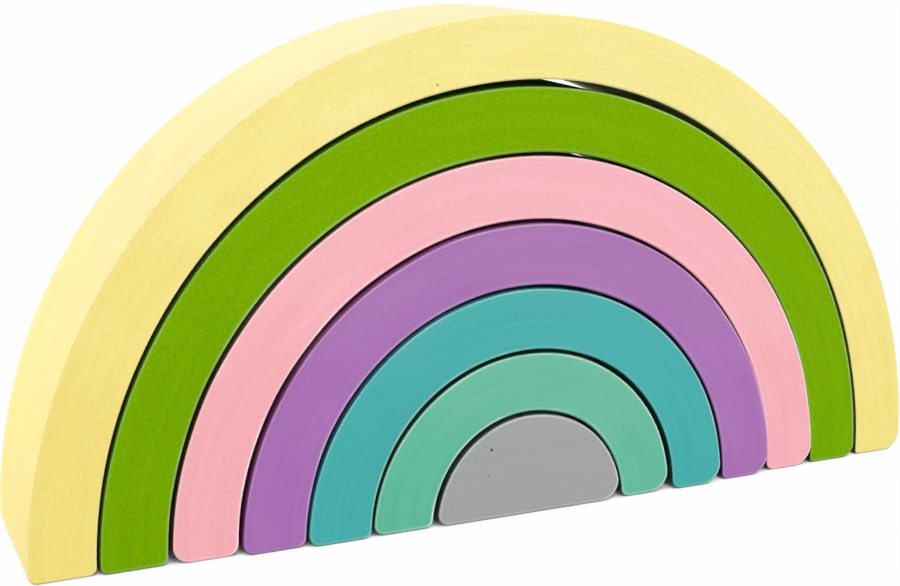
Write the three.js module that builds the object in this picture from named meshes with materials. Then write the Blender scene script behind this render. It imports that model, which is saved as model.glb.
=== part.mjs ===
// A nesting set of painted wooden building blocks: arches, each a half ring, stand one inside
// the other around a solid half disc. Every block is loose and draws out of the nest along Y.
// Millimetres, +Z up. The feet stand on z = 0, the front faces look along -Y, and the origin is
// the middle of the nest's footprint.

import * as THREE from "three";

// Driving dimensions
const BLOCK_DEPTH = 44; // thickness of the board that every block is sawn from
const HALF_DISC_RADIUS = 26.2; // half the width of the solid block in the middle
const ARCH_WALL = 15.5; // thickness of an arch at its feet, as it was marked out
const RISE = 1.012; // height of a block as a share of half its width
const EDGE_ROUND = 0.6; // sanded rounding along the rim of the front and back faces
const OUTER_CORNER_ROUND = 3; // rounding at the flat front face's outer foot corners
const INNER_CORNER_ROUND = 1.5; // rounding at the flat front face's inner foot corners
const CHORD_ERROR = 0.05; // furthest that a facet may lie from its arc
const EDGE_STEPS = 2; // facets across an edge rounding
const CORNER_STEPS = 5; // facets around a foot corner

// The most of an arch's wall that the rounding of one foot corner may take up
const CORNER_SHARE_OF_WALL = 0.4;

// The blocks from the middle outwards. stray is how much thicker than marked out an arch was
// sawn, clearance is the gap at its feet to the block that goes inside, forward is how far the
// front face stands in front of the outermost block's, and lean is the share of the gap around it
// that a block has moved to the right, or to the left below 0.
const HALF_DISC = { name: "grey_half_disc", colour: 0xa2a5a4, forward: 4.3, lean: 0.6 };
const ARCHES = [
  { name: "mint_arch", colour: 0x6bbd9f, stray: -0.4, clearance: 1, forward: 3.8, lean: 0.45 },
  { name: "teal_arch", colour: 0x4aafac, stray: 0.1, clearance: 1, forward: 4.1, lean: -0.2 },
  { name: "purple_arch", colour: 0xab76b4, stray: 0, clearance: 0.75, forward: 2.9, lean: 0.7 },
  { name: "pink_arch", colour: 0xf7b4bd, stray: 0, clearance: 0.7, forward: 1.4, lean: 0.7 },
  { name: "green_arch", colour: 0x78a803, stray: 0.4, clearance: 0.75, forward: 0.8, lean: -0.25 },
  { name: "yellow_arch", colour: 0xf2e18c, stray: 0.2, clearance: 1.3, forward: 0, lean: 0 },
];
const PAINT_ROUGHNESS = 0.5;

// Facets that an arc of this radius and angle needs
function arcSteps(radius, angle) {
  const facetAngle = 2 * Math.acos(1 - CHORD_ERROR / radius);
  return Math.max(CORNER_STEPS, Math.ceil(Math.abs(angle) / facetAngle));
}

// Points along an arc about (x, z), turning from one angle to another
function arc(x, z, radius, from, to, steps) {
  const clockwise = to < from;
  return new THREE.ArcCurve(x, z, radius, from, to, clockwise).getPoints(steps);
}

// Right-hand corner circle that rounds a foot off between the table line and a circle about the
// origin. It lies inside that circle on the outer side of a block, and outside it on the inner.
function footCorner(circleRadius, cornerRadius, side) {
  const reach = side === "outer" ? circleRadius - cornerRadius : circleRadius + cornerRadius;
  return {
    x: Math.sqrt(reach * reach - cornerRadius * cornerRadius),
    angle: Math.asin(cornerRadius / reach),
  };
}

// From the right foot over the top to the left foot, with both outer foot corners
function outerEdge(radius, corner) {
  const foot = footCorner(radius, corner, "outer");
  const sweep = Math.PI - 2 * foot.angle;
  return [
    ...arc(foot.x, corner, corner, -Math.PI / 2, foot.angle, CORNER_STEPS),
    ...arc(0, 0, radius, foot.angle, Math.PI - foot.angle, arcSteps(radius, sweep)).slice(1),
    ...arc(-foot.x, corner, corner, Math.PI - foot.angle, 1.5 * Math.PI, CORNER_STEPS).slice(1),
  ];
}

// From the left foot back over the top to the right foot, with both inner foot corners
function innerEdge(radius, corner) {
  const foot = footCorner(radius, corner, "inner");
  const sweep = Math.PI - 2 * foot.angle;
  return [
    ...arc(-foot.x, corner, corner, -Math.PI / 2, -foot.angle, CORNER_STEPS),
    ...arc(0, 0, radius, Math.PI - foot.angle, foot.angle, arcSteps(radius, sweep)).slice(1),
    ...arc(foot.x, corner, corner, Math.PI + foot.angle, 1.5 * Math.PI, CORNER_STEPS).slice(1),
  ];
}

// A block of the board's depth, standing behind y = 0, with rounded rims and with this half-round
// outline drawn up to the blocks' rise
function sawnBlock(halfRound) {
  const outline = halfRound.map((point) => new THREE.Vector2(point.x, point.y * RISE));
  const geometry = new THREE.ExtrudeGeometry(new THREE.Shape(outline), {
    depth: BLOCK_DEPTH - 2 * EDGE_ROUND,
    bevelThickness: EDGE_ROUND,
    bevelSize: EDGE_ROUND,
    bevelOffset: -EDGE_ROUND,
    bevelSegments: EDGE_STEPS,
  });
  return geometry.translate(0, 0, EDGE_ROUND - BLOCK_DEPTH).rotateX(Math.PI / 2);
}

function paintedBlock({ name, colour }, geometry) {
  const paint = new THREE.MeshStandardMaterial({
    color: colour,
    roughness: PAINT_ROUGHNESS,
    metalness: 0,
  });
  const block = new THREE.Mesh(geometry, paint);
  block.name = name;
  return block;
}

// Radius of a foot corner in the outline, where the rim's rounding adds to the flat face's corner
function footRound(faceCorner, wall) {
  return Math.min(EDGE_ROUND + faceCorner, CORNER_SHARE_OF_WALL * wall);
}

// Blocks grow outwards: each arch clears the block inside it and adds its wall
const discCorner = footRound(OUTER_CORNER_ROUND, HALF_DISC_RADIUS);
const blocks = [paintedBlock(HALF_DISC, sawnBlock(outerEdge(HALF_DISC_RADIUS, discCorner)))];
let reach = HALF_DISC_RADIUS;
for (const arch of ARCHES) {
  const inner = reach + arch.clearance;
  const wall = ARCH_WALL + arch.stray;
  reach = inner + wall;
  const outline = [
    ...outerEdge(reach, footRound(OUTER_CORNER_ROUND, wall)),
    ...innerEdge(inner, footRound(INNER_CORNER_ROUND, wall)),
  ];
  blocks.push(paintedBlock(arch, sawnBlock(outline)));
}

// Places follow from the outermost block inwards, because each block leans within the next
const order = [HALF_DISC, ...ARCHES];
const furthestForward = Math.max(...order.map((block) => block.forward));
const outermostFront = (furthestForward - BLOCK_DEPTH) / 2;
let sideways = 0;
for (let i = order.length - 1; i >= 0; i--) {
  const around = order[i + 1];
  sideways += around ? order[i].lean * around.clearance : 0;
  blocks[i].position.set(sideways, outermostFront - order[i].forward, 0);
}

const nest = new THREE.Group();
nest.name = "nesting_block_set";
nest.add(...blocks);

export default nest;
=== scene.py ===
"""Looks of a nesting set of painted wooden arch blocks.

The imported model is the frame. Each block is built again as a fine mesh over its solid, with the
saw's slight kinks, hand-sanded rims and brushed paint. The camera stands at the photograph's view.
Metres, +Z up. The front faces look along -Y. Only the code that shapes blocks is in millimetres.
"""

import math
from dataclasses import dataclass

import bpy
import numpy as np
from mathutils import Matrix, Vector


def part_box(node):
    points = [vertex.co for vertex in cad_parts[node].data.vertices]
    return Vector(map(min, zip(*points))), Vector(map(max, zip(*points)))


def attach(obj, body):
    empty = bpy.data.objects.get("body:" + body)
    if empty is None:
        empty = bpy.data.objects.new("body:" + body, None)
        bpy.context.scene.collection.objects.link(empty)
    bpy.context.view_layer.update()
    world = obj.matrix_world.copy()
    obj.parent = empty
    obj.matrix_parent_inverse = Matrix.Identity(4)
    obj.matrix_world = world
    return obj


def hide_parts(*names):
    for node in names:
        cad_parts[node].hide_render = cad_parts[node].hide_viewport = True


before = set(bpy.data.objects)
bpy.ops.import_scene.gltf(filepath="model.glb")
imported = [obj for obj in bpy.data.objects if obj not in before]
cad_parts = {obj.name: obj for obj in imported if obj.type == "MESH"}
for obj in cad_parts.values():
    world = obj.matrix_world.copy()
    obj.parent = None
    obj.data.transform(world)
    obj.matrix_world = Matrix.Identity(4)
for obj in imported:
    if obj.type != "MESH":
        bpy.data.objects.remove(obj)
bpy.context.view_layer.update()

MM = 0.001

# Sawn arcs, in millimetres where they are not shares
RISE = 1.012  # height of a block as a share of half its width
STRAY_ANGLES = (8, 45, 78, 110, 165)  # degrees around an arch at which its strays are given
SAW_KINK = 0.06  # standard deviation of the arcs' kinks from a smooth line
KINK_LIMIT = 2.0  # largest kink, in standard deviations
KINK_SPACING = 13.0
FEWEST_KINKS = 4
KINK_SOFTNESS = 2.0
KINK_FREE = 10.0  # length above the feet over which the kinks die out

# Sanded rims
FOOT_RIM = 0.45  # further rounding of the edges that the block stands on
RIM_SPREAD = 0.25  # how much the rounding varies, as a share of itself
RIM_WAVES = range(3, 12)  # waves around a block that the rounding's variation is made of
RIM_SQUARENESS = 1.6  # 2 is a round rim, and 1 a flat chamfer

# Wear of the rims with painted highlight on them, both strongest where they face right
RUBBED_AND_LIT_LEAST = 0.35  # share of the rubbing that is left on rims that face any other way
ARRIS_WIDTH = 0.45  # paler line around a face, inside its rim: handling wear with painted highlight
ARRIS_START = 2 / 3  # sine of the turn around the rim at which that line begins
WORN_AND_LIT_TOP = 0.7  # share of the line's strength on edges that face up
WORN_AND_LIT_LEAST = 0.25  # share of the line's strength on edges that face left or down

PAINTED_LIGHT_ASKEW = 0.35  # how much the painted light, which pales the paint upwards, also follows the width, rising to the right

# Mesh spacing
STATION = 1.3
CORNER_STEPS = 9
FOOT_STEPS = 6
RIM_STEPS = 8
DEPTH_STEPS = 12


@dataclass
class Block:
    """One block: its colours as sRGB bytes with their painted light, and how the hand shaped it, in
    mm, and wore it.
    """

    node: str  # the solid that it replaces
    slot: str
    paint: tuple  # colour at the left foot
    patch_and_lit_tint: tuple  # colour that the paint shifts to in random patches, and as painted light upwards and to the right
    outer_strays: tuple  # distance of the outer edge from its circle, from right to left
    corners: tuple  # radii of the foot corners, from left to right
    rim: float  # rounding of the faces' rims
    worn: float  # share of the rims that is rubbed bare, which also sets the strength of their painted highlight
    seed: int
    wall: float = 0.0  # thickness of an arch
    inner_strays: tuple = ()  # as the outer strays, on the inner edge of an arch
    sheen: tuple = (255, 255, 255)  # colour that the paint's gloss takes
    side: float = 0.0  # strength of the painted highlight that makes the curved sides paler than the faces, more so towards the top
    streak: float = 0.036  # how strongly the paint is brushed
    grain: float = 0.055  # how strongly the paint is speckled
    back_rise: float = 0.0  # how much taller it is at the back, as a share, where the saw leaned
    pits: tuple = ()  # x, z and radius of pits in the front face, painted as dark shade without a hole in the mesh

    @property
    def is_arch(self):
        return self.wall > 0


BLOCKS = [
    Block(
        "yellow_arch", "yellow_paint", paint=(240, 219, 118), patch_and_lit_tint=(246, 232, 148), wall=15.7,
        outer_strays=(-1.6, -0.4, 0.3, 0.4, -0.5), inner_strays=(-1.2, -0.1, 0.6, 0.0, -0.35),
        corners=(2.2, 2.0, 1.5, 4.8), rim=0.2, worn=0.25, seed=11, side=0.2, streak=0.022,
        back_rise=0.0035, pits=((-23.1, 110.5, 0.3),),
    ),
    Block(
        "green_arch", "green_paint", paint=(109, 159, 0), patch_and_lit_tint=(119, 168, 3), wall=15.9,
        outer_strays=(-1.1, 0.05, 0.05, 0.1, -0.05), inner_strays=(-0.1, 0.2, 0.0, -0.35, -0.05),
        corners=(2.0, 1.8, 1.5, 3.5), rim=0.2, worn=0.3, seed=12, sheen=(220, 255, 40),
        grain=0.13, back_rise=0.007,
    ),
    Block(
        "pink_arch", "pink_paint", paint=(242, 170, 177), patch_and_lit_tint=(246, 181, 190), wall=15.5,
        outer_strays=(-0.2, -0.15, -0.15, 0.0, 0.25), inner_strays=(0.5, 0.4, -0.15, -0.4, -0.2),
        corners=(4.3, 2.8, 2.5, 5.3), rim=0.2, worn=0.9, seed=13, streak=0.024,
    ),
    Block(
        "purple_arch", "purple_paint", paint=(163, 103, 175), patch_and_lit_tint=(170, 115, 177), wall=15.5,
        outer_strays=(0.0, -0.3, -0.6, -0.3, 0.15), inner_strays=(0.6, 0.2, -0.4, -0.4, -0.1),
        corners=(2.9, 2.3, 2.0, 5.5), rim=0.25, worn=0.4, seed=14,
    ),
    Block(
        "teal_arch", "teal_paint", paint=(58, 168, 165), patch_and_lit_tint=(70, 172, 169), wall=15.6,
        outer_strays=(0.0, -0.1, -0.35, -0.1, 0.15), inner_strays=(0.5, 0.3, 0.0, -0.2, -0.35),
        corners=(3.0, 2.1, 3.0, 5.0), rim=0.2, worn=0.5, seed=15,
    ),
    Block(
        "mint_arch", "mint_paint", paint=(86, 181, 150), patch_and_lit_tint=(107, 186, 157), wall=15.1,
        outer_strays=(-0.2, -0.3, -0.2, -0.05, 0.25), inner_strays=(0.6, 0.3, -0.2, -0.25, -0.45),
        corners=(3.0, 2.1, 2.5, 5.0), rim=0.3, worn=0.85, seed=16,
    ),
    Block(
        "grey_half_disc", "grey_paint", paint=(157, 159, 161), patch_and_lit_tint=(161, 161, 161),
        outer_strays=(0.2, 0.1, 0.0, 0.25, 0.05), corners=(3.2, 5.0), rim=0.3, worn=0.75, seed=17,
        streak=0.018, pits=((-11.5, 18.7, 0.5), (-12.3, 12.0, 0.25)),
    ),
]


# Outlines of the blocks, as points in the XZ plane, counter-clockwise seen from the front

def arc(centre, radius, start, stop, steps):
    angles = np.linspace(start, stop, steps + 1)
    radius = np.broadcast_to(radius, angles.shape)[:, None]
    return np.array(centre) + radius * np.stack([np.cos(angles), np.sin(angles)], axis=1)


def line(start, stop, steps):
    return np.linspace(start, stop, steps + 1)


def foot_corner(circle, corner, side):
    """X of the circle that rounds a foot off, and the angle where it meets the block's own circle.

    side is 1 on the outer edge of a block and -1 on the inner edge.
    """
    reach = circle - side * corner
    return math.sqrt(reach**2 - corner**2), math.asin(corner / reach)


def strayed(angles, strays):
    """Distance from the marked circle at these angles, eased between the strays that are given."""
    places = np.radians(STRAY_ANGLES)
    before = np.searchsorted(places, angles).clip(1, len(places) - 1) - 1
    share = ((angles - places[before]) / np.diff(places)[before]).clip(0, 1)
    eased = share**2 * (3 - 2 * share)
    return np.array(strays)[before] + np.diff(strays)[before] * eased


def sawn_radius(circle, strays, start, stop, steps, rng):
    """Radius along an arc that a saw followed by hand: straight runs between soft kinks."""
    length = abs(stop - start) * circle
    knots = max(FEWEST_KINKS, round(length / KINK_SPACING))
    largest = KINK_LIMIT * SAW_KINK
    offsets = rng.normal(0, SAW_KINK, knots + 1).clip(-largest, largest)
    place = np.linspace(0, length, steps + 1)
    kinks = np.interp(place, np.linspace(0, length, knots + 1), offsets)
    width = max(1, round(KINK_SOFTNESS * steps / length))
    window = np.ones(2 * width + 1) / (2 * width + 1)
    kinks = np.convolve(np.pad(kinks, width, mode="edge"), window, mode="valid")
    fade = np.minimum(place, length - place) / KINK_FREE
    return circle + strayed(np.linspace(start, stop, steps + 1), strays) + kinks * fade.clip(0, 1)


def outer_edge(block, radius, rng):
    """The outer arc from the right foot to the left, and the two outer foot corners."""
    strays = block.outer_strays
    left_round, right_round = block.corners[0], block.corners[-1]
    right_x, right_angle = foot_corner(radius + strays[0], right_round, 1)
    left_x, left_angle = foot_corner(radius + strays[-1], left_round, 1)
    left_end = math.pi - left_angle
    steps = round(math.pi * radius / STATION)
    sawn = sawn_radius(radius, strays, right_angle, left_end, steps, rng)
    edge = arc((0, 0), sawn, right_angle, left_end, steps)
    left = arc((-left_x, left_round), left_round, left_end, 1.5 * math.pi, CORNER_STEPS)
    right = arc((right_x, right_round), right_round, -0.5 * math.pi, right_angle, CORNER_STEPS)
    return edge, left, right


def arch_outline(block, outer, rng):
    """Outer edge, left foot, inner edge and right foot of an arch."""
    edge, left, right = outer_edge(block, outer, rng)
    inner = outer - block.wall
    strays = block.inner_strays
    left_round, right_round = block.corners[1:3]
    left_x, left_angle = foot_corner(inner + strays[-1], left_round, -1)
    right_x, right_angle = foot_corner(inner + strays[0], right_round, -1)
    left_end = math.pi - left_angle
    right_start = math.pi + right_angle
    steps = len(edge) - 1
    sawn = sawn_radius(inner, strays, left_end, right_angle, steps, rng)
    hollow = arc((0, 0), sawn, left_end, right_angle, steps)
    left_in = arc((-left_x, left_round), left_round, -0.5 * math.pi, -left_angle, CORNER_STEPS)
    right_in = arc((right_x, right_round), right_round, right_start, 1.5 * math.pi, CORNER_STEPS)
    left_foot = np.concatenate([left, line(left[-1], left_in[0], FOOT_STEPS)[1:-1], left_in])
    right_foot = np.concatenate([right_in, line(right_in[-1], right[0], FOOT_STEPS)[1:-1], right])
    return edge, left_foot[1:-1], hollow, right_foot[1:-1]


def half_disc_outline(block, outer, rng):
    """Round edge, left corner, flat base and right corner of the half disc."""
    edge, left, right = outer_edge(block, outer, rng)
    base = line(left[-1], right[0], len(edge) - 1)
    return edge, left[1:-1], base, right[1:-1]


def outward(loop):
    """Outward normals of a closed counter-clockwise loop."""
    along = np.roll(loop, -1, axis=0) - np.roll(loop, 1, axis=0)
    normals = np.stack([along[:, 1], -along[:, 0]], axis=1)
    return normals / np.linalg.norm(normals, axis=1, keepdims=True)


def sanded(rim, count, rng):
    """Rim rounding along a closed loop of that many points, uneven as sanding by hand leaves it."""
    phase = np.linspace(0, 2 * np.pi, count, endpoint=False)
    waves = sum(np.sin(n * phase + rng.uniform(0, 2 * np.pi)) / n**0.5 for n in RIM_WAVES)
    return rim * (1 + RIM_SPREAD * waves / np.abs(waves).max())


# Meshes

class Shell:
    """Points of a block in layers, and each point's normal, rim share and arris share."""

    def __init__(self):
        self.points = []
        self.normals = []
        self.rims = []
        self.arrises = []

    def add(self, flat, y, out, ahead, rim=0.0, arris=0.0):
        """A layer of points and normals, which are given in the XZ plane and along Y."""
        count = len(flat)
        self.points.append(np.stack([flat[:, 0], np.broadcast_to(y, count), flat[:, 1]], axis=1))
        self.normals.append(np.stack([out[:, 0], np.full(count, ahead), out[:, 1]], axis=1))
        self.rims.append(np.full(count, rim))
        self.arrises.append(np.broadcast_to(arris, count))

    def count(self):
        return sum(len(layer) for layer in self.points)


def face_grid(edge_steps, end_steps, ring_start, inner_start):
    """Vertex numbers of a face's grid: rows along the outer edge, columns from it to the inner."""
    rows = np.arange(edge_steps + 1)
    grid = np.zeros((edge_steps + 1, end_steps + 1), dtype=int)
    grid[:, 0] = ring_start + rows
    grid[:, -1] = ring_start + 2 * edge_steps + end_steps - rows
    columns = np.arange(1, end_steps)
    grid[-1, 1:-1] = ring_start + edge_steps + columns
    grid[0, 1:-1] = ring_start + 2 * edge_steps + 2 * end_steps - columns
    inside = np.arange((edge_steps - 1) * (end_steps - 1))
    grid[1:-1, 1:-1] = inner_start + inside.reshape(edge_steps - 1, end_steps - 1)
    return grid


def grid_quads(grid):
    corners = [grid[:-1, :-1], grid[1:, :-1], grid[1:, 1:], grid[:-1, 1:]]
    return np.stack(corners, axis=-1).reshape(-1, 4)


def across_face(ring, edge_steps, end_steps):
    """Points between the outer and inner edges of a face's boundary ring, row by row."""
    outer = ring[1:edge_steps]
    inner = ring[2 * edge_steps + end_steps - 1 : edge_steps + end_steps : -1]
    shares = np.arange(1, end_steps) / end_steps
    points = outer[:, None] + (inner - outer)[:, None] * shares[None, :, None]
    return points.reshape(-1, 2)


def block_geometry(block, outline, depth, rng):
    """Points, quads, normals, rim shares and arris shares of a block, its front face at y = 0."""
    edge_steps = len(outline[0]) - 1
    end_steps = len(outline[1]) + 1
    loop = np.concatenate(outline) * (1.0, RISE)
    normals = outward(loop)
    rounding = sanded(block.rim, len(loop), rng) + FOOT_RIM * (-normals[:, 1]).clip(0, 1)
    # The arris line is strongest on rims that face right and up: handling wear with painted highlight
    exposed = np.maximum(normals[:, 0], WORN_AND_LIT_TOP * normals[:, 1]).clip(0, 1)
    worn_and_lit = WORN_AND_LIT_LEAST + (1 - WORN_AND_LIT_LEAST) * exposed
    shell = Shell()

    def add_ring(turn, side, inward=0.0):
        """A ring turned from the block's side, at 0, to a face, at a right angle."""
        sideways = max(0.0, math.cos(turn))
        ahead = math.sin(turn)
        inset = rounding * (1 - sideways ** (2 / RIM_SQUARENESS)) + inward
        lift = rounding * (1 - ahead ** (2 / RIM_SQUARENESS))
        y = lift if side < 0 else depth - lift
        slant = np.array([sideways, ahead]) ** (2 - 2 / RIM_SQUARENESS)
        slant /= np.linalg.norm(slant)
        arris = 0.0 if inward else max(0.0, (ahead - ARRIS_START) / (1 - ARRIS_START))
        flat = loop - normals * inset[:, None]
        shell.add(
            flat, y, normals * slant[0], side * slant[1], math.sin(2 * turn), worn_and_lit * arris
        )

    turns = np.linspace(0, 0.5 * math.pi, RIM_STEPS + 1)
    add_ring(turns[-1], -1, ARRIS_WIDTH)
    for turn in turns[::-1]:
        add_ring(turn, -1)
    for share in np.arange(1, DEPTH_STEPS) / DEPTH_STEPS:
        shell.add(loop, rounding + (depth - 2 * rounding) * share, normals, 0.0)
    for turn in turns:
        add_ring(turn, 1)
    add_ring(turns[-1], 1, ARRIS_WIDTH)

    ring_size = len(loop)
    ring_count = len(shell.points)
    numbers = np.arange(ring_size * ring_count).reshape(ring_count, ring_size)
    following = np.roll(numbers, -1, axis=1)
    corners = [numbers[:-1], numbers[1:], following[1:], following[:-1]]
    quads = [np.stack(corners, axis=-1).reshape(-1, 4)]

    for ring, y, side in ((0, 0.0, -1), (ring_count - 1, depth, 1)):
        flat = across_face(shell.points[ring][:, [0, 2]], edge_steps, end_steps)
        face = grid_quads(face_grid(edge_steps, end_steps, ring * ring_size, shell.count()))
        quads.append(face if side < 0 else face[:, ::-1])
        shell.add(flat, y, np.zeros_like(flat), side)

    points = np.concatenate(shell.points)
    points[:, 2] *= 1 + block.back_rise * points[:, 1] / depth
    rest = (quads, shell.normals, shell.rims, shell.arrises)
    return [points] + [np.concatenate(part) for part in rest]


def brush_strokes(block, points, outer):
    """Place of each point along the brush strokes, across them and in depth."""
    if not block.is_arch:
        return points[:, [0, 2, 1]]
    angle = np.arctan2(points[:, 2], points[:, 0])
    middle = outer - block.wall / 2
    return np.stack([angle * middle, np.hypot(points[:, 0], points[:, 2]), points[:, 1]], axis=1)


def store(mesh, name, values):
    """Keep a number or a vector for each point of the mesh, which its material reads."""
    kind, field = ("FLOAT", "value") if values.ndim == 1 else ("FLOAT_VECTOR", "vector")
    mesh.attributes.new(name, kind, "POINT").data.foreach_set(field, values.ravel())


def make_block(block):
    lowest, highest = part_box(block.node)
    outer = highest.z / MM / RISE
    depth = (highest.y - lowest.y) / MM
    rng = np.random.default_rng(block.seed)
    shape = arch_outline if block.is_arch else half_disc_outline
    outline = shape(block, outer, rng)
    points, quads, normals, rims, arrises = block_geometry(block, outline, depth, rng)

    name = block.node + "_block"
    mesh = bpy.data.meshes.new(name)
    place = np.array([(lowest.x + highest.x) / 2, lowest.y, 0.0])
    mesh.from_pydata((points * MM + place).tolist(), [], quads.tolist())
    mesh.shade_smooth()
    mesh.normals_split_custom_set_from_vertices(normals.tolist())

    store(mesh, "strokes", brush_strokes(block, points, outer))
    # Rubbing to bare wood, weighted to rims that face right, which also makes it their painted
    # highlight
    store(mesh, "rubbed_and_lit", rims * (RUBBED_AND_LIT_LEAST + (1 - RUBBED_AND_LIT_LEAST) * normals[:, 0].clip(0, 1)))
    # The arris line: handling wear with painted highlight
    store(mesh, "arris", arrises)
    # Which points lie on the curved sides, where the sides' painted highlight goes
    store(mesh, "curved", 1 - np.abs(normals[:, 1]))
    # Share of painted light, rising upwards and to the right, that pales the paint there
    store(mesh, "painted_light_share", ((points[:, 2] + PAINTED_LIGHT_ASKEW * points[:, 0]) / outer).clip(0, 1))

    pits = []
    for x, z, radius in block.pits:
        pits.append((brush_strokes(block, np.array([(x, 0.0, z)]), outer)[0], radius))
    mesh.materials.append(paint_material(block, pits))
    piece = bpy.data.objects.new(name, mesh)
    bpy.context.collection.objects.link(piece)
    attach(piece, block.node)
    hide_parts(block.node)


# Materials

@dataclass
class Pattern:
    """A noise in the paint: waves per millimetre along the strokes, across them and in depth."""

    scale: tuple
    detail: float = 2.0
    roughness: float = 0.5


class Graph:
    """A node tree that is built up by short calls."""

    def __init__(self, tree):
        self.tree = tree
        tree.nodes.clear()

    def add(self, kind, inputs=None, **settings):
        """A node. Inputs are sockets to link or values to set, by the input's name or number."""
        node = self.tree.nodes.new(kind)
        for key, value in settings.items():
            setattr(node, key, value)
        for key, value in (inputs or {}).items():
            if isinstance(value, bpy.types.NodeSocket):
                self.tree.links.new(value, node.inputs[key])
            else:
                node.inputs[key].default_value = value
        return node

    def attribute(self, name, output="Fac"):
        return self.add("ShaderNodeAttribute", attribute_name=name).outputs[output]

    def math(self, operation, *values, clamp=False):
        inputs = dict(enumerate(values))
        return self.add("ShaderNodeMath", inputs, operation=operation, use_clamp=clamp).outputs[0]

    def scaled(self, vector, scale):
        """A vector or colour times a vector, or times a number."""
        inputs = {0: vector, 1: scale}
        return self.add("ShaderNodeVectorMath", inputs, operation="MULTIPLY").outputs[0]

    def noise(self, vector, pattern):
        inputs = {
            "Vector": self.scaled(vector, pattern.scale),
            "Scale": 1.0,
            "Detail": pattern.detail,
            "Roughness": pattern.roughness,
        }
        return self.add("ShaderNodeTexNoise", inputs).outputs["Fac"]

    def span(self, value, source, target=(0.0, 1.0), soft=False):
        """The value moved from the source's range to the target's, and held inside it."""
        inputs = {
            "Value": value,
            "From Min": source[0],
            "From Max": source[1],
            "To Min": target[0],
            "To Max": target[1],
        }
        kind = "SMOOTHSTEP" if soft else "LINEAR"
        return self.add("ShaderNodeMapRange", inputs, interpolation_type=kind).outputs["Result"]

    def swing(self, noise, size):
        """A noise stretched to swing from -size to size."""
        return self.span(noise, NOISE_RANGE, (-size, size))

    def mix(self, share, first, second):
        inputs = {0: share, 6: first, 7: second}
        return self.add("ShaderNodeMix", inputs, data_type="RGBA").outputs[2]


def linear(srgb):
    """Scene-linear colour of sRGB bytes."""
    shares = np.array(srgb) / 255
    low = shares / 12.92
    high = ((shares + 0.055) / 1.055) ** 2.4
    return tuple(np.where(shares <= 0.04045, low, high).tolist()) + (1.0,)


# Bare wood on the rubbed rims, which is also their painted highlight
BARE_WOOD_AND_HIGHLIGHT = linear((242, 234, 214))
# Paler arris line, handling wear with painted highlight
ARRIS_HIGHLIGHT_TONE = linear((252, 250, 244))
# Painted highlight on the curved sides
SIDE_HIGHLIGHT_TONE = linear((255, 255, 250))
# Painted shade in the pits, which the mesh has no hole for
PIT_SHADE_TONE = linear((62, 54, 44))

FINE_STROKES = Pattern((0.018, 1.5, 1.5), roughness=0.6)
WIDE_STROKES = Pattern((0.012, 0.33, 0.33))
PATCHES = Pattern((0.05, 0.09, 0.09), detail=3.0, roughness=0.6)
GRAIN = Pattern((1.1, 1.1, 1.1), detail=3.0, roughness=0.6)
WEAR = Pattern((0.08, 0.05, 0.05))
NOISE_RANGE = (0.3, 0.7)  # most of a noise lies between these
WEAR_RANGE = (0.35, 0.65)

PATCH_SHIFT = 0.3  # how far patches push the paint towards its tint or away from it
SIDE_HIGHLIGHT_AT_FOOT = 0.4  # painted highlight on a side at the foot, as a share of the block's
SIDE_HIGHLIGHT_AT_TOP = 1.5  # painted highlight on a side at the top, as a share of the block's
RAGGEDNESS = 0.3  # how far the grain breaks up the rubbed rims
BARE_FROM = 1.0  # rubbing at which the wood begins to show on an unworn block
BARE_FROM_WORN = 0.4  # how much less is needed on a wholly worn one
BARE_TO = 1.25  # rubbing at which the wood is bare on an unworn block
BARE_TO_WORN = 0.3  # how much less is needed on a wholly worn one
ARRIS_FADED = 0.4  # strength of the arris line where it is faintest, as a share of the full one
PIT_CORE = 0.6  # share of a pit's radius that is painted fully dark with shade
PIT_SHADE_DARKNESS = 0.9

GLOSS = 0.2
ROUGHNESS = (0.46, 0.58)
BUMP_DEPTH = 0.00003
STROKE_RELIEF = 0.5  # height of the fine and of the wide strokes, as a share of the bump's depth
GRAIN_RELIEF = 0.3


def brushed_coat(graph, block, strokes, brushed, grain):
    """Colour of the paint as it was brushed on, with painted light: lighter upwards and to the right,
    and paler on the curved sides towards the top.
    """
    # Painted light: the paint shifts to its lighter tint upwards and to the right
    painted_light_share = graph.attribute("painted_light_share")
    patches = graph.swing(graph.noise(strokes, PATCHES), PATCH_SHIFT)
    shift = graph.math("ADD", painted_light_share, patches, clamp=True)
    coat = graph.mix(shift, linear(block.paint), linear(block.patch_and_lit_tint))
    # Painted highlight: the curved sides are painted paler, more so towards the top
    side_highlight_range = (SIDE_HIGHLIGHT_AT_FOOT * block.side, SIDE_HIGHLIGHT_AT_TOP * block.side)
    pale = graph.math("MULTIPLY", graph.attribute("curved"), graph.span(painted_light_share, (0.0, 1.0), side_highlight_range))
    coat = graph.mix(pale, coat, SIDE_HIGHLIGHT_TONE)
    tone = graph.math("MULTIPLY", brushed, block.streak)
    tone = graph.math("ADD", tone, graph.swing(grain, block.grain))
    return graph.scaled(coat, graph.math("ADD", tone, 1.0))


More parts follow.
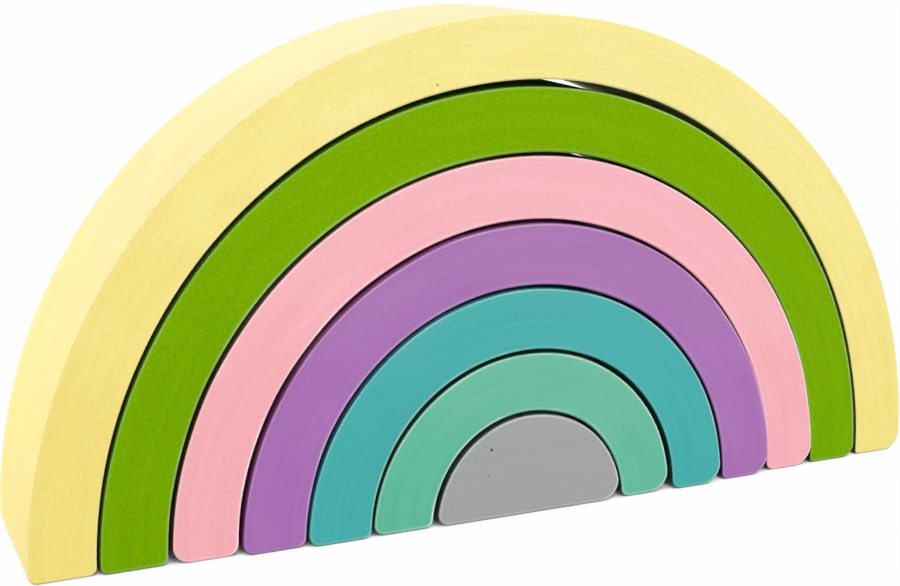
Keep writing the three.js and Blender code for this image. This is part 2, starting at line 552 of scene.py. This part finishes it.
def worn_coat(graph, block, coat, strokes, grain):
    """The coat, rubbed down to the wood on the rims and paler along the arrises, which is wear and
    painted highlight, strongest where the rims face right.
    """
    ragged = graph.math("ADD", graph.attribute("rubbed_and_lit"), graph.swing(grain, RAGGEDNESS))
    begins = BARE_FROM - BARE_FROM_WORN * block.worn
    ends = BARE_TO - BARE_TO_WORN * block.worn
    coat = graph.mix(graph.span(ragged, (begins, ends), soft=True), coat, BARE_WOOD_AND_HIGHLIGHT)
    strength = (ARRIS_FADED * block.worn, block.worn)
    # The arris line: handling wear with painted highlight
    worn_and_lit = graph.span(graph.noise(strokes, WEAR), WEAR_RANGE, strength)
    return graph.mix(graph.math("MULTIPLY", graph.attribute("arris"), worn_and_lit), coat, ARRIS_HIGHLIGHT_TONE)


def pitted_coat(graph, coat, strokes, pit, radius):
    """The coat with painted shade of a pit at this place in the strokes, where the mesh has no hole.
    """
    inputs = {0: strokes, 1: pit.tolist()}
    distance = graph.add("ShaderNodeVectorMath", inputs, operation="DISTANCE").outputs["Value"]
    dark = graph.span(distance, (PIT_CORE * radius, radius), (PIT_SHADE_DARKNESS, 0.0), soft=True)
    return graph.mix(dark, coat, PIT_SHADE_TONE)


def paint_material(block, pits):
    """Satin paint, brushed along the arch on wood, rubbed thin on the rims, with painted light and
    shade: paler upwards, to the right, on the sides and along the rims, and dark in its pits.
    """
    material = bpy.data.materials.new(block.slot)
    material.use_nodes = True
    graph = Graph(material.node_tree)
    strokes = graph.attribute("strokes", "Vector")
    fine = graph.noise(strokes, FINE_STROKES)
    wide = graph.noise(strokes, WIDE_STROKES)
    grain = graph.noise(strokes, GRAIN)

    brushed = graph.math("ADD", graph.swing(fine, 1.0), graph.swing(wide, 1.0))
    coat = brushed_coat(graph, block, strokes, brushed, grain)
    coat = worn_coat(graph, block, coat, strokes, grain)
    for pit, radius in pits:
        coat = pitted_coat(graph, coat, strokes, pit, radius)

    height = graph.math("MULTIPLY", graph.math("ADD", fine, wide), STROKE_RELIEF)
    height = graph.math("ADD", height, graph.math("MULTIPLY", grain, GRAIN_RELIEF))
    relief = {"Strength": 1.0, "Distance": BUMP_DEPTH, "Height": height}
    finish = {
        "Base Color": coat,
        "Roughness": graph.span(fine, NOISE_RANGE, ROUGHNESS),
        "Specular IOR Level": GLOSS,
        "Specular Tint": linear(block.sheen),
        "Normal": graph.add("ShaderNodeBump", relief).outputs["Normal"],
    }
    shader = graph.add("ShaderNodeBsdfPrincipled", finish)
    graph.add("ShaderNodeOutputMaterial", {"Surface": shader.outputs[0]})
    return material


# Stage

LIGHT_WHITE = (1.0, 1.0, 1.0, 1.0)
FLOOR_SIZE = 8.0
FLOOR_COLOUR = (0.02, 0.02, 0.02, 1.0)  # where a block's shade shows, and for the light it returns
FLOOR_GLOW = 0.99  # share of the open floor that the camera sees as plain white
CONTACT_REACH = 0.01  # how near a block closes the floor in
CONTACT_RANGE = (0.1, 0.28)  # openness of the floor between full shade and plain white
CONTACT_SAMPLES = 6
WORLD_LIGHT = 0.012

# Name, place, width and watts of each lamp, and the height in the nest that they point at
SOFTBOXES = (
    ("key_softbox", (0.075, -8.0, 0.1), 0.12, 604.0),
    ("top_softbox", (0.8, 0.1, 1.3), 0.7, 19.0),
    ("left_softbox", (-1.05, 0.6, 0.35), 0.7, 18.0),
    ("back_softbox", (-0.075, 8.0, 0.1), 0.12, 100.0),
)
AIM_HEIGHT = 0.06


def seen_directly(graph):
    """1 for the rays that show the background itself: camera, glossy and transmission rays."""
    path = graph.add("ShaderNodeLightPath")
    seen = graph.math("MAXIMUM", path.outputs["Is Camera Ray"], path.outputs["Is Glossy Ray"])
    return graph.math("MAXIMUM", seen, path.outputs["Is Transmission Ray"])


def make_floor():
    material = bpy.data.materials.new("pale_floor")
    material.use_nodes = True
    graph = Graph(material.node_tree)
    matte = graph.add("ShaderNodeBsdfDiffuse", {"Color": FLOOR_COLOUR}).outputs[0]
    glow = graph.add("ShaderNodeEmission", {"Color": LIGHT_WHITE, "Strength": 1.0}).outputs[0]
    reach = {"Distance": CONTACT_REACH}
    closeness = graph.add("ShaderNodeAmbientOcclusion", reach, samples=CONTACT_SAMPLES)
    clear = graph.span(closeness.outputs["AO"], CONTACT_RANGE, (0.0, FLOOR_GLOW), soft=True)
    share = graph.math("MULTIPLY", seen_directly(graph), clear)
    surface = graph.add("ShaderNodeMixShader", {0: share, 1: matte, 2: glow}).outputs[0]
    graph.add("ShaderNodeOutputMaterial", {"Surface": surface})

    half = FLOOR_SIZE / 2
    corners = [(-half, -half, 0), (half, -half, 0), (half, half, 0), (-half, half, 0)]
    mesh = bpy.data.meshes.new("floor")
    mesh.from_pydata(corners, [], [(0, 1, 2, 3)])
    mesh.materials.append(material)
    plane = bpy.data.objects.new("floor", mesh)
    bpy.context.collection.objects.link(plane)


def make_world():
    world = bpy.data.worlds.new("studio")
    bpy.context.scene.world = world
    world.use_nodes = True
    graph = Graph(world.node_tree)
    dim = {"Color": LIGHT_WHITE, "Strength": WORLD_LIGHT}
    white = {"Color": LIGHT_WHITE, "Strength": 1.0}
    light = graph.add("ShaderNodeBackground", dim).outputs[0]
    backdrop = graph.add("ShaderNodeBackground", white).outputs[0]
    both = graph.add("ShaderNodeMixShader", {0: seen_directly(graph), 1: light, 2: backdrop})
    graph.add("ShaderNodeOutputWorld", {"Surface": both.outputs[0]})


def make_softbox(name, place, width, watts):
    lamp = bpy.data.lights.new(name, "AREA")
    lamp.shape = "SQUARE"
    lamp.size = width
    lamp.energy = watts
    softbox = bpy.data.objects.new(name, lamp)
    softbox.location = place
    aim = Vector((0.0, 0.0, AIM_HEIGHT)) - softbox.location
    softbox.rotation_euler = aim.to_track_quat("-Z", "Y").to_euler()
    softbox.visible_camera = False
    bpy.context.collection.objects.link(softbox)


# Camera

FOCAL_PIXELS = 1533.91
IMAGE_WIDTH = 900
SENSOR_WIDTH = 36.0
CLIP_START = 0.01
CAMERA_PLACE = (-0.16833, -0.33666, 0.14492)  # its y is from the outermost block's front face
CAMERA_YAW = math.radians(23.828)
CAMERA_PITCH = math.radians(-13.088)
CAMERA_ROLL = math.radians(-0.198)


def make_camera():
    data = bpy.data.cameras.new("camera")
    data.sensor_width = SENSOR_WIDTH
    data.lens = FOCAL_PIXELS * SENSOR_WIDTH / IMAGE_WIDTH
    data.clip_start = CLIP_START
    camera = bpy.data.objects.new("camera", data)
    bpy.context.collection.objects.link(camera)
    heading = Vector((math.sin(CAMERA_YAW), math.cos(CAMERA_YAW), 0.0))
    ahead = heading * math.cos(CAMERA_PITCH) + Vector((0.0, 0.0, math.sin(CAMERA_PITCH)))
    right = Vector((heading.y, -heading.x, 0.0))
    up = right.cross(ahead)
    turned = Matrix((right, up, -ahead)).transposed() @ Matrix.Rotation(-CAMERA_ROLL, 3, "Z")
    place = Vector(CAMERA_PLACE) + Vector((0.0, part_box("yellow_arch")[0].y, 0.0))
    camera.matrix_world = Matrix.LocRotScale(place, turned, None)
    bpy.context.scene.camera = camera


bpy.context.scene.view_settings.view_transform = "Standard"
make_camera()
make_floor()
make_world()
for softbox in SOFTBOXES:
    make_softbox(*softbox)
for block in BLOCKS:
    make_block(block)
